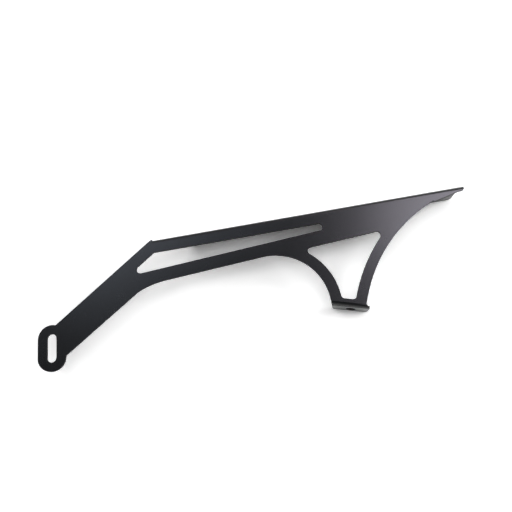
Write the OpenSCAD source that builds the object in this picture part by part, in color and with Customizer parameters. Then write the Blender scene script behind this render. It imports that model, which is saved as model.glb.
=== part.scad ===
// Motorcycle chain guard: one laser-cut sheet, folded along its top edge and at the foot of its leg.
//
// The sheet is drawn flat first, with its front corner at [0, 0], +X running rearwards along
// the top fold and -Y running down the sheet. The face lies at z = 0 and the folds turn down.
// At the end the whole guard is laid on the feet of its two folds.

/* [Sheet and folds] */
// Thickness of the sheet
sheet_t = 3; // [2:0.5:4]
// Inner radius of both folds
fold_r = 1; // [0.5:0.5:3]

/* [Top flange] */
// From the front corner to the rear edge of the flange
flange_l = 333; // [300:1:360]
// From the face of the sheet to the foot of the flange
flange_h = 31.5; // [26:0.5:45]
// Corner radius at the rear of the flange's foot
flange_corner_r = 5; // [1:0.5:12]
// How far the nose of the fold passes the flange
nose_l = 6; // [3:0.5:8]
// From the face of the sheet to the underside of the nose
nose_h = 5; // [4.5:0.5:8]
// Width of the sheet at the nose
nose_w = 5.4; // [4.2:0.1:6]
// Slope at which the sheet's rear edge runs into the nose
nose_slope = 13; // [10:0.5:16]
// Corner radius at the end of the nose, under the fold
nose_r = 2.8; // [1:0.1:3]
// Corner radius at the end of the nose, on the fold
nose_top_r = 1.1; // [0.5:0.1:1.2]

/* [Rail and long window] */
// Width of the rail between the flange face and the long window
rail_w = 14; // [11:0.5:18]
// Height of the long window below the front corner
window_h = 19; // [15:0.5:24]
// Rearward end of the long window
window_end_x = 181; // [160:1:190]
// Width of the strut between the arm's upper edge and the long window
strut_w = 12.5; // [9:0.5:16]
// Slope of the lower bar towards the rail
bar_angle = 3.6; // [2:0.1:4.2]
// Width of the lower bar
bar_w = 13.3; // [10:0.1:18]
// Radius of the long window's two front corners
window_front_r = 4.2; // [2:0.1:6]
// Radius of the long window's rear corners
window_rear_r = 3.1; // [1:0.1:3.2]

/* [Arm and eye] */
// Slope of the arm's upper edge
arm_angle = 34.2; // [28:0.1:40]
// Angle by which the arm's lower edge is flatter than the upper one
arm_flare = 1; // [0:0.1:3]
// Width of the arm at the eye
arm_w = 31; // [26:0.5:36]
// From the front corner to the eye, along the arm
arm_l = 146; // [120:1:180]
// Radius of the elbow under the arm
elbow_r = 88; // [60:1:110]
// Where the elbow runs out into the lower bar
elbow_x = 10.3; // [0:0.1:30]
// Radius of the eye's round ends
eye_r = 14; // [11:0.5:18]
// Width of the adjusting slot
slot_w = 9.5; // [6:0.5:12]
// Length of the adjusting slot, end to end
slot_l = 28.5; // [18:0.5:40]
// Lean of the slot and the eye from the sheet's Y axis
slot_lean = -5; // [-20:1:20]

/* [Leg] */
// Radius of the arch in front of the leg
arch_r = 56.7; // [45:0.5:60]
// Centre of the arch, from the front corner
arch_x = 116.9; // [105:0.1:125]
// Radius of the long arc behind the leg
rear_arc_r = 167; // [150:1:180]
// Centre of the long arc, from the front corner
rear_arc_x = 364.5; // [358:0.1:372]
// Height of the long arc's crown over the flange face
rear_arc_rise = 0.6; // [0:0.1:2]
// Width of the leg's two members
leg_w = 11.2; // [9:0.1:16]
// Width of the web between the long window's lower edge line and the leg window
web_w = 15.4; // [12:0.1:20]
// Corner radius of the leg window
leg_window_r = 4; // [1.5:0.1:5]
// Width of the sheet below the leg window, to the outside of the tab
foot_w = 7.8; // [6:0.1:12]

/* [Foot tab] */
// Centre of the tab's outer face along the top fold
tab_x = 193.4; // [188:0.1:200]
// Distance of the tab's outer face below the flange face
tab_y = 107.6; // [98:0.1:114]
// Angle of the tab's fold to the top fold
tab_angle = -16; // [-22:0.5:-8]
// Width of the tab at its foot
tab_w = 36; // [30:0.5:42]
// Slant of the tab's front side
tab_slant = 8; // [0:1:15]
// From the face of the sheet to the foot of the tab
tab_h = 21.5; // [18:0.5:25]
// Corner radius of the tab's foot
tab_corner_r = 4; // [1:0.5:8]
// Diameter of the tab's bolt hole
tab_hole_d = 10; // [5:0.5:12]
// Bolt hole's centre, up from the tab's foot
tab_hole_h = 8.5; // [8:0.5:11]
// Bolt hole's centre, rearwards from the middle of the tab
tab_hole_shift = 0; // [-4:0.5:4]

/* [Hidden] */
$fn = 96;

coat = [0.13, 0.135, 0.15];
// Overreach of a cutting shape past what it cuts
over = 1;
// How far a fold laps into the flat sheet that it hangs from
lap = 1;
// By how much a round crosses the line that it runs into, so that they meet in one clean point
graze = 0.002;
// How far the sides of the tab's fold start inside those of the leg
set_in = 0.05;
// The corner in front of the flange stays flat, because the fold starts behind it
fold_start_x = 2;

function along(a) = [cos(a), sin(a)];
function across(a) = [-sin(a), cos(a)];
function unit(v) = v / norm(v);
// Point where the line through p at angle a meets the line through q at angle b
function meet(p, a, q, b) = p + along(a) * ((q - p) * across(b)) / (along(a) * across(b));
// Point where the line through p at angle a crosses a circle, the far one for a side of 1 and
// the near one for -1
function cross_circle(p, a, c, r, side) =
    let (s = (c - p) * along(a), d = (c - p) * across(a))
    p + along(a) * (s + side * sqrt(r * r - d * d));
// Point on a circle's rim in the direction of p
function rim(c, r, p) = c + unit(p - c) * r;

// Outer radius of the folds, which is also the width that they take off the flat sheet
fold_out = fold_r + sheet_t;

// Lines of the rail, the bar and the web, each as a point below the front corner
bar_run = 1 / cos(bar_angle);
rail_low = [0, -rail_w];
window_low = [0, -rail_w - window_h];
bar_low = window_low - [0, bar_w * bar_run];
web_low = window_low - [0, web_w * bar_run];

// Arm: its axis runs from the front corner down to the eye
arm_dir = -along(arm_angle);
arm_side = -across(arm_angle);
eye_top = arm_dir * arm_l;
eye_c = eye_top + arm_side * arm_w / 2;
arm_low_p = eye_top + arm_side * arm_w;
arm_low_angle = arm_angle - arm_flare;
slot_half = (slot_l - slot_w) / 2;

// Elbow: tangent to the bar's lower edge at elbow_x, and meets the arm's lower edge at a corner
elbow_end = bar_low + along(bar_angle) * elbow_x * bar_run;
elbow_c = elbow_end - across(bar_angle) * elbow_r;
// Corner that the elbow fills, and the point of the arm's lower edge that is nearest to its centre
elbow_corner = meet(bar_low, bar_angle, arm_low_p, arm_low_angle);
elbow_near = meet(arm_low_p, arm_low_angle, elbow_c, arm_low_angle + 90);

// Arch and long arc
arch_top = bar_low + along(bar_angle) * (arch_x - arch_r * sin(bar_angle)) * bar_run;
arch_c = arch_top - across(bar_angle) * arch_r;
rear_c = [rear_arc_x, rear_arc_rise - rear_arc_r];
nose_x = flange_l + nose_l;

// Foot of the leg: the fold starts fold_out inside the tab's outer face
tab_c = [tab_x, -tab_y];
tab_in = across(tab_angle);
foot_p = tab_c + tab_in * fold_out;
foot_front = cross_circle(foot_p, tab_angle, arch_c, arch_r + graze, 1);
foot_rear = cross_circle(foot_p, tab_angle, rear_c, rear_arc_r, -1);
tab_rear = tab_c + along(tab_angle) * tab_w / 2;

// Lie on a table: the turn about X that brings both feet to one level
tab_low_y = tab_rear[1] + tab_corner_r * sin(-tab_angle);
lie_angle = atan((flange_h - tab_h) / (-sheet_t - tab_low_y));
eye_low_y = eye_c[1] - slot_half * cos(slot_lean) - eye_r;
eye_left_x = eye_c[0] - slot_half * abs(sin(slot_lean)) - eye_r;
mid_x = (eye_left_x + nose_x) / 2;
lie_z = flange_h * cos(lie_angle) + sheet_t * sin(lie_angle);
lie_y = (eye_low_y * cos(lie_angle) + flange_h * sin(lie_angle)) / 2;

// Slot shape: a bar of width w with round ends at +-half along Y
module obround(w, half) {
    translate([0, half]) circle(d = w);
    translate([0, -half]) circle(d = w);
    translate([-w / 2, -half]) square([w, 2 * half]);
}

module at_eye() {
    translate(eye_c) rotate(slot_lean) children();
}

// Tip to take off the corner v, whose round has its centre at c and ends at a and b.
// Its outer side reaches past the corner.
module tip(v, a, c, b, r) {
    reach = 1.5;
    difference() {
        polygon([c + (v - c) * reach, c + (a - c) * reach, c, c + (b - c) * reach]);
        translate(c) circle(r + graze);
    }
}

// Tip of the straight corner v between the points p and q
module straight_tip(v, p, q, r) {
    u = unit(p - v);
    w = unit(q - v);
    half = acos(u * w) / 2;
    tip(v, v + u * r / tan(half), v + unit(u + w) * r / sin(half), v + w * r / tan(half), r);
}

// Long window between the rail, the strut and the lower bar
module long_window() {
    strut_p = arm_side * strut_w;
    end_p = [window_end_x, 0];
    top_front = meet(rail_low, 0, strut_p, arm_angle);
    top_rear = meet(rail_low, 0, end_p, 90);
    low_rear = meet(window_low, bar_angle, end_p, 90);
    low_front = meet(window_low, bar_angle, strut_p, arm_angle);
    difference() {
        polygon([top_front, top_rear, low_rear, low_front]);
        straight_tip(top_front, top_rear, low_front, window_front_r);
        straight_tip(low_front, top_front, low_rear, window_front_r);
        straight_tip(top_rear, top_front, low_rear, window_rear_r);
        straight_tip(low_rear, top_rear, low_front, window_rear_r);
    }
}

// Tip of the leg window where the line through p at angle a meets one of its two side arcs.
// inward is 1 when the window lies on the line's left, and side picks the crossing.
module arc_tip(p, a, inward, c, r, side) {
    round_r = leg_window_r;
    v = cross_circle(p, a, c, r, side);
    f = cross_circle(p + across(a) * inward * round_r, a, c, r + round_r, side);
    tip(v, f - across(a) * inward * round_r, f, rim(c, r, f), round_r);
}

// Window between the two members of the leg
module leg_window() {
    front_r = arch_r + leg_w;
    rear_r = rear_arc_r + leg_w;
    low_p = tab_c + tab_in * foot_w;
    difference() {
        polygon([
            cross_circle(web_low, bar_angle, arch_c, front_r, 1),
            cross_circle(web_low, bar_angle, rear_c, rear_r, -1),
            cross_circle(low_p, tab_angle, rear_c, rear_r, -1),
            cross_circle(low_p, tab_angle, arch_c, front_r, 1)
        ]);
        translate(arch_c) circle(front_r);
        translate(rear_c) circle(rear_r);
        arc_tip(web_low, bar_angle, -1, arch_c, front_r, 1);
        arc_tip(web_low, bar_angle, -1, rear_c, rear_r, -1);
        arc_tip(low_p, tab_angle, 1, arch_c, front_r, 1);
        arc_tip(low_p, tab_angle, 1, rear_c, rear_r, -1);
    }
}

// Fillet of the elbow between the arm's lower edge and the bar's
module elbow() {
    half = bar_w / 2;
    difference() {
        polygon([
            elbow_c, elbow_near, elbow_near + across(arm_low_angle) * half,
            elbow_corner + [0, half], elbow_end + across(bar_angle) * half
        ]);
        translate(elbow_c) circle(elbow_r + graze);
    }
}

// What the long arc takes off the sheet, up to the straight edge that runs into the nose
module rear_cut() {
    reach = nose_l * 5;
    difference() {
        translate(rear_c) circle(rear_arc_r);
        polygon([
            [flange_l, -nose_w] - along(nose_slope) * reach, [flange_l, -nose_w],
            [nose_x + over, -nose_w], [nose_x + over, over], [flange_l - reach, over]
        ]);
    }
}

// Corners to take off the end of the nose
module nose_tips() {
    translate([nose_x, 0]) {
        straight_tip([0, 0], [-nose_w, 0], [0, -nose_w], nose_top_r);
        straight_tip([0, -nose_w], [-nose_w, -nose_w], [0, 0], nose_r);
    }
}

// Plan of the sheet from the flange face to the fold of the tab, without its openings
module outline() {
    difference() {
        polygon([
            eye_top, [0, 0], [nose_x, 0], [nose_x, -nose_w - over],
            foot_rear + along(tab_angle) * over, foot_front - along(tab_angle) * over,
            arch_c, arch_top, elbow_corner, arm_low_p
        ]);
        translate(arch_c) circle(arch_r + graze);
        rear_cut();
        nose_tips();
    }
    elbow();
    at_eye() obround(2 * eye_r, slot_half);
}

// Flat sheet with its openings, up to the start of the top fold
module flat_sheet() {
    translate([0, 0, -sheet_t]) linear_extrude(sheet_t) difference() {
        outline();
        translate([fold_start_x, -fold_out]) square([nose_x, fold_out + over]);
        long_window();
        leg_window();
        at_eye() obround(slot_w, slot_half);
    }
}

// A strip of sheet l long, folded down over the X axis and hanging h deep with its outer face
// at y = 0. It laps into the flat sheet that it hangs from.
module folded_strip(l, h) {
    drop = h - fold_out;
    translate([0, -fold_out, -fold_out]) rotate([90, 0, 90]) linear_extrude(l) difference() {
        union() {
            intersection() {
                circle(fold_out);
                square(fold_out);
            }
            translate([-lap, fold_r]) square([lap, sheet_t]);
            if (drop > 0) translate([0, -drop]) square([fold_out, drop]);
        }
        circle(fold_r);
        if (drop > 0) translate([-over, -h]) square([over + fold_r, h]);
    }
}

// Top flange with its fold; its front edge runs on at the arm's slope, and the nose of the
// fold runs past its rear edge
module flange() {
    front_low_x = fold_start_x + (flange_h - fold_out) / tan(arm_angle);
    foot_end = [flange_l, -flange_h];
    difference() {
        translate([fold_start_x, 0, 0]) folded_strip(nose_x - fold_start_x, flange_h);
        rotate([90, 0, 0]) linear_extrude(2 * fold_out) {
            polygon([
                [fold_start_x, -fold_out], [front_low_x, -flange_h],
                [front_low_x, -flange_h - over], [-over, -flange_h - over], [-over, -fold_out]
            ]);
            translate([flange_l, -flange_h - over])
                square([nose_l + over, flange_h + over - nose_h]);
            straight_tip(foot_end, [flange_l, 0], [0, -flange_h], flange_corner_r);
        }
        translate([0, 0, -sheet_t]) linear_extrude(sheet_t + over) rear_cut();
        translate([0, 0, -nose_h - over]) linear_extrude(nose_h + 2 * over) nose_tips();
    }
}

// What lies beside the tab's fold, from the corner of the leg's foot at x = foot to the tab's
// side edge at x = edge. way is the sense of X in which it lies.
module wing(foot, edge, way) {
    far = edge + way * tab_w;
    translate([0, 0, -fold_out - over]) linear_extrude(fold_out + 2 * over) polygon([
        [foot - way * (2 * lap + set_in), -fold_out - 2 * lap], [foot - way * set_in, -fold_out],
        [edge, 0], [edge, over], [far, over], [far, -fold_out - 2 * lap]
    ]);
}

// Foot tab with its fold and its bolt hole, seen here from inside with the front on the right.
// Its front side slants in towards the foot.
module tab() {
    plate_h = tab_h - fold_out;
    front_top = [tab_w / 2 + plate_h * tan(tab_slant), 0];
    front_low = [tab_w / 2, -plate_h];
    rear_top = [-tab_w / 2, 0];
    rear_low = [-tab_w / 2, -plate_h];
    translate(concat(tab_c, 0)) rotate([0, 0, tab_angle + 180]) {
        difference() {
            translate([-tab_w, 0, 0]) folded_strip(2 * tab_w, fold_out);
            wing((tab_c - foot_front) * along(tab_angle), front_top[0], 1);
            wing((tab_c - foot_rear) * along(tab_angle), rear_top[0], -1);
        }
        translate([0, 0, -fold_out]) rotate([90, 0, 0]) linear_extrude(sheet_t) difference() {
            polygon([front_top, rear_top, rear_low, front_low]);
            straight_tip(front_low, front_top, rear_low, tab_corner_r);
            straight_tip(rear_low, rear_top, front_low, tab_corner_r);
            translate([-tab_hole_shift, tab_hole_h - plate_h]) circle(d = tab_hole_d);
        }
    }
}

module chain_guard() {
    color(coat) translate([-mid_x, -lie_y, lie_z]) rotate([lie_angle, 0, 0]) {
        flat_sheet();
        flange();
        tab();
    }
}

chain_guard();
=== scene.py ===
"""Looks of a motorcycle chain guard: one folded sheet with a satin black powder coat, lying on a
pale floor in soft studio light. All lengths are in metres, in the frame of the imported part."""
import math

import bpy
from mathutils import Matrix, Vector

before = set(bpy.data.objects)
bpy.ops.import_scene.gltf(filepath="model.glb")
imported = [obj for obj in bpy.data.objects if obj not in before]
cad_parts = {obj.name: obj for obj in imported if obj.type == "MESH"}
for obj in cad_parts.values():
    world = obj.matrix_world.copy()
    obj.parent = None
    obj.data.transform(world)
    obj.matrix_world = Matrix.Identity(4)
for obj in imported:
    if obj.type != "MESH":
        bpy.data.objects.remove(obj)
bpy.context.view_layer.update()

MM = 0.001
WHITE = (1, 1, 1)

# Camera: its place, where it looks and what lies to its right
CAMERA_AT = Vector((-0.01984, -0.20812, 0.60970))
CAMERA_AHEAD = Vector((0.0326, 0.3655, -0.9303))
CAMERA_RIGHT = Vector((0.9841, -0.1742, -0.0339))
CAMERA_NEAREST = 0.01
FOCAL_PX = 600
PHOTO_PX = 512
SENSOR_MM = 36

# Coat: its darkest and lightest places in linear colour, and its roughness there
COAT_DARK = (0.0054, 0.0057, 0.0063, 1)
COAT_LIGHT = (0.0068, 0.0071, 0.0079, 1)
COAT_ROUGHNESS = (0.26, 0.275)
COAT_IOR = 1.5
# Noise in the coat, scales per metre: broad clouds, the powder's grain and orange peel
CLOUDS = {"Scale": 38, "Detail": 4, "Roughness": 0.55}
GRAIN = {"Scale": 2600, "Detail": 2, "Roughness": 0.6}
PEEL = {"Scale": 620, "Detail": 2, "Roughness": 0.45}
# Share of the grain in the mix of clouds and grain, and the mix at the darkest and lightest coat
GRAIN_SHARE = 0.45
NOISE_SPAN = (0.35, 0.65)
PEEL_BUMP = {"Strength": 0.2, "Distance": 0.02 * MM}
GRAIN_BUMP = {"Strength": 0.25, "Distance": 0.004 * MM}

# The sheet's face: its normal, how high it lies along that, and how deep a cut edge goes
FACE_NORMAL = (0, -0.0918, 0.9958)
FACE_HEIGHT = 26.23 * MM
CUT_DEPTH = 3 * MM
# Cut edges are rougher than the face. A surface is one up to the first cosine between its normal
# and the face's, and none from the second on. The folded flange and tab are none either, so that
# also fades out between these two depths under the sheet
CUT_ROUGHNESS = 0.9
CUT_TURN = (0.15, 0.45)
CUT_FADE = (0.5 * MM, 1.5 * MM)

# Clean-up of the sheet's mesh, and the rounds that the coat lays on sharp edges
WELD_DISTANCE = 0.001 * MM
FLAT_ANGLE = math.radians(0.5)
ROUND_WIDTH = 0.35 * MM
ROUND_SEGMENTS = 3
ROUND_ANGLE = math.radians(50)

# Floor: its side, its colour, the faint mottle in that, and how much whiter it shows to the
# camera and in reflections than it lights the sheet
FLOOR_SIDE = 3
FLOOR_COLOUR = 0.84
FLOOR_MOTTLE = {"Scale": 9, "Detail": 3}
FLOOR_DARKEST = 0.99
FLOOR_SPAN = (0.3, 0.7)
FLOOR_LIFT = 1.65

# White tent: its light from straight above, and the power by which that falls off to the sides
TENT_LIGHT = 1.35
TENT_POWER = 3
# What gloss shows of the tent up to the first height, and from the second height up
TENT_SIDE = 1.0
TENT_GLOSS = 0.01
TENT_SPAN = (0.1, 0.8)

# Lamps: compass angle from +X and height angle in degrees, side in metres, watts and colour
LAMP_AIM = Vector((0.03, 0.03, 0))
LAMP_DISTANCE = 1.6
LAMPS = {
    "back_left": (140, 25, 0.9, 12.2, WHITE),
    "right": (0, 20, 0.9, 22.0, WHITE),
}
# Cards, which are only mirrored in the coat: the same values
CARDS = {
    "cool_card": (118, 56, 0.955, 6.4, (0.91, 1.0, 1.17)),
    "warm_card": (15.4, 59.3, 0.6, 9.1, (1.05, 1.0, 1.13)),
}


def node_tree(name):
    """A new material with an empty node tree and its output."""
    material = bpy.data.materials.new(name)
    material.use_nodes = True
    tree = material.node_tree
    tree.nodes.clear()
    output = tree.nodes.new("ShaderNodeOutputMaterial")
    return material, tree, output


def add(tree, kind, inputs=None, **settings):
    """A node of that kind, with its settings and its inputs, each a value or another's output."""
    node = tree.nodes.new("ShaderNode" + kind)
    for key, value in settings.items():
        setattr(node, key, value)
    for key, value in (inputs or {}).items():
        if isinstance(value, bpy.types.NodeSocket):
            tree.links.new(value, node.inputs[key])
        else:
            node.inputs[key].default_value = value
    return node


def math_node(tree, operation, first, second):
    """The result of a Math node with two inputs."""
    return add(tree, "Math", {0: first, 1: second}, operation=operation).outputs[0]


def map_range(tree, value, source, target):
    """Maps the source span to the target span, held at both ends."""
    return add(tree, "MapRange", {
        "Value": value, "From Min": source[0], "From Max": source[1],
        "To Min": target[0], "To Max": target[1]}).outputs["Result"]


def ramp(tree, value, span, colours):
    """A colour that runs from the first to the second as value crosses the span."""
    node = add(tree, "ValToRGB", {"Fac": value})
    for element, place, colour in zip(node.color_ramp.elements, span, colours):
        element.position = place
        element.color = colour
    return node.outputs["Color"]


def cut_edge(tree, place):
    """1 on the sheet's laser-cut edges, where the coat is thin and dull, and 0 on its faces."""
    normal = add(tree, "TexCoord").outputs["Normal"]
    turned = add(tree, "VectorMath", {0: normal, 1: FACE_NORMAL}, operation="DOT_PRODUCT")
    size = add(tree, "Math", {0: turned.outputs["Value"]}, operation="ABSOLUTE").outputs[0]
    upright = map_range(tree, size, CUT_TURN, (1, 0))
    level = add(tree, "VectorMath", {0: place, 1: FACE_NORMAL}, operation="DOT_PRODUCT")
    underside = FACE_HEIGHT - CUT_DEPTH
    fade = (underside - CUT_FADE[1], underside - CUT_FADE[0])
    within = map_range(tree, level.outputs["Value"], fade, (0, 1))
    return math_node(tree, "MULTIPLY", upright, within)


def powder_coat():
    """Satin black powder coat: clouds of faintly lighter coat, fine grain and orange peel."""
    material, tree, output = node_tree("powder_coat")
    place = add(tree, "TexCoord").outputs["Object"]
    clouds, grain, peel = (
        add(tree, "TexNoise", {"Vector": place, **noise}).outputs["Fac"]
        for noise in (CLOUDS, GRAIN, PEEL))
    mixed = add(tree, "Mix", {"Factor": GRAIN_SHARE, "A": clouds, "B": grain}).outputs["Result"]
    colour = ramp(tree, mixed, NOISE_SPAN, (COAT_DARK, COAT_LIGHT))
    satin = map_range(tree, mixed, NOISE_SPAN, COAT_ROUGHNESS)
    rough = add(tree, "Mix", {"Factor": cut_edge(tree, place), "A": satin, "B": CUT_ROUGHNESS})
    peel_bump = add(tree, "Bump", {"Height": peel, **PEEL_BUMP})
    grain_bump = add(tree, "Bump", {
        "Height": grain, "Normal": peel_bump.outputs["Normal"], **GRAIN_BUMP})
    shader = add(tree, "BsdfPrincipled", {
        "Base Color": colour, "Roughness": rough.outputs["Result"],
        "Normal": grain_bump.outputs["Normal"], "IOR": COAT_IOR})
    tree.links.new(shader.outputs["BSDF"], output.inputs["Surface"])
    return material


def dress_sheet(sheet):
    """Gives the folded sheet its coat, and the small rounds that the coat lays on sharp edges."""
    sheet.data.materials.clear()
    sheet.data.materials.append(powder_coat())
    weld = sheet.modifiers.new("weld", "WELD")
    weld.merge_threshold = WELD_DISTANCE
    flats = sheet.modifiers.new("flats", "DECIMATE")
    flats.decimate_type = "DISSOLVE"
    flats.angle_limit = FLAT_ANGLE
    rounds = sheet.modifiers.new("rounds", "BEVEL")
    rounds.width = ROUND_WIDTH
    rounds.segments = ROUND_SEGMENTS
    rounds.limit_method = "ANGLE"
    rounds.angle_limit = ROUND_ANGLE
    rounds.use_clamp_overlap = True
    rounds.harden_normals = True


def sees_backdrop(tree):
    """1 for rays from the camera, from gloss and through glass, and 0 for the others."""
    path = add(tree, "LightPath").outputs
    seen = math_node(tree, "MAXIMUM", path["Is Camera Ray"], path["Is Glossy Ray"])
    return math_node(tree, "MAXIMUM", seen, path["Is Transmission Ray"])


def make_floor():
    """A wide pale floor, which shows whiter to the camera than it is and keeps the shadow."""
    material, tree, output = node_tree("pale_floor")
    place = add(tree, "TexCoord").outputs["Object"]
    mottle = add(tree, "TexNoise", {"Vector": place, **FLOOR_MOTTLE}).outputs["Fac"]
    tones = [(FLOOR_COLOUR * share,) * 3 + (1,) for share in (FLOOR_DARKEST, 1)]
    colour = ramp(tree, mottle, FLOOR_SPAN, tones)
    lift = map_range(tree, sees_backdrop(tree), (0, 1), (1, FLOOR_LIFT))
    lifted = add(tree, "VectorMath", {0: colour, "Scale": lift}, operation="SCALE")
    matt = add(tree, "BsdfDiffuse", {"Color": lifted.outputs["Vector"]})
    tree.links.new(matt.outputs[0], output.inputs["Surface"])
    bpy.ops.mesh.primitive_plane_add(size=FLOOR_SIDE, location=(0, 0, 0))
    floor = bpy.context.object
    floor.name = "floor"
    floor.data.materials.append(material)


def make_world():
    """The tent: white to the camera, light from above on the part, and in gloss white at the
    sides and nearly black above."""
    world = bpy.data.worlds.new("studio")
    world.use_nodes = True
    bpy.context.scene.world = world
    tree = world.node_tree
    tree.nodes.clear()
    way = add(tree, "TexCoord").outputs["Generated"]
    height = add(tree, "SeparateXYZ", {"Vector": way}).outputs["Z"]
    above = math_node(tree, "MAXIMUM", height, 0)
    tent = math_node(tree, "MULTIPLY", math_node(tree, "POWER", above, TENT_POWER), TENT_LIGHT)
    gloss = map_range(tree, height, TENT_SPAN, (TENT_SIDE, TENT_GLOSS))
    path = add(tree, "LightPath").outputs
    shown = add(tree, "Background", {"Color": WHITE + (1,), "Strength": tent}).outputs[0]
    for ray, strength in (("Is Glossy Ray", gloss), ("Is Transmission Ray", 1),
                          ("Is Camera Ray", 1)):
        light = add(tree, "Background", {"Color": WHITE + (1,), "Strength": strength}).outputs[0]
        shown = add(tree, "MixShader", {0: path[ray], 1: shown, 2: light}).outputs[0]
    output = add(tree, "OutputWorld")
    tree.links.new(shown, output.inputs["Surface"])


def make_lights():
    """Square soft lamps round the part, and the cards that its flat face mirrors."""
    for name, (compass, height, side, watts, colour) in {**LAMPS, **CARDS}.items():
        data = bpy.data.lights.new(name, "AREA")
        data.size = side
        data.energy = watts
        data.color = colour
        turn, rise = math.radians(compass), math.radians(height)
        level = math.cos(rise)
        way = Vector((math.cos(turn) * level, math.sin(turn) * level, math.sin(rise)))
        lamp = bpy.data.objects.new(name, data)
        lamp.location = LAMP_AIM + way * LAMP_DISTANCE
        lamp.rotation_euler = (-way).to_track_quat("-Z", "Y").to_euler()
        lamp.visible_diffuse = name not in CARDS
        lamp.visible_glossy = name in CARDS
        bpy.context.scene.collection.objects.link(lamp)


def make_camera():
    """The scene's camera, turned by its ahead and right directions."""
    back = -CAMERA_AHEAD.normalized()
    right = (CAMERA_RIGHT - CAMERA_RIGHT.dot(back) * back).normalized()
    up = back.cross(right)
    data = bpy.data.cameras.new("camera")
    data.sensor_width = SENSOR_MM
    data.lens = SENSOR_MM * FOCAL_PX / PHOTO_PX
    data.clip_start = CAMERA_NEAREST
    camera = bpy.data.objects.new("camera", data)
    turn = Matrix((right, up, back)).transposed().to_4x4()
    camera.matrix_world = Matrix.Translation(CAMERA_AT) @ turn
    bpy.context.scene.collection.objects.link(camera)
    bpy.context.scene.camera = camera


make_camera()
dress_sheet(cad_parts["chain_guard"])
make_floor()
make_world()
make_lights()
bpy.context.scene.view_settings.view_transform = "Standard"
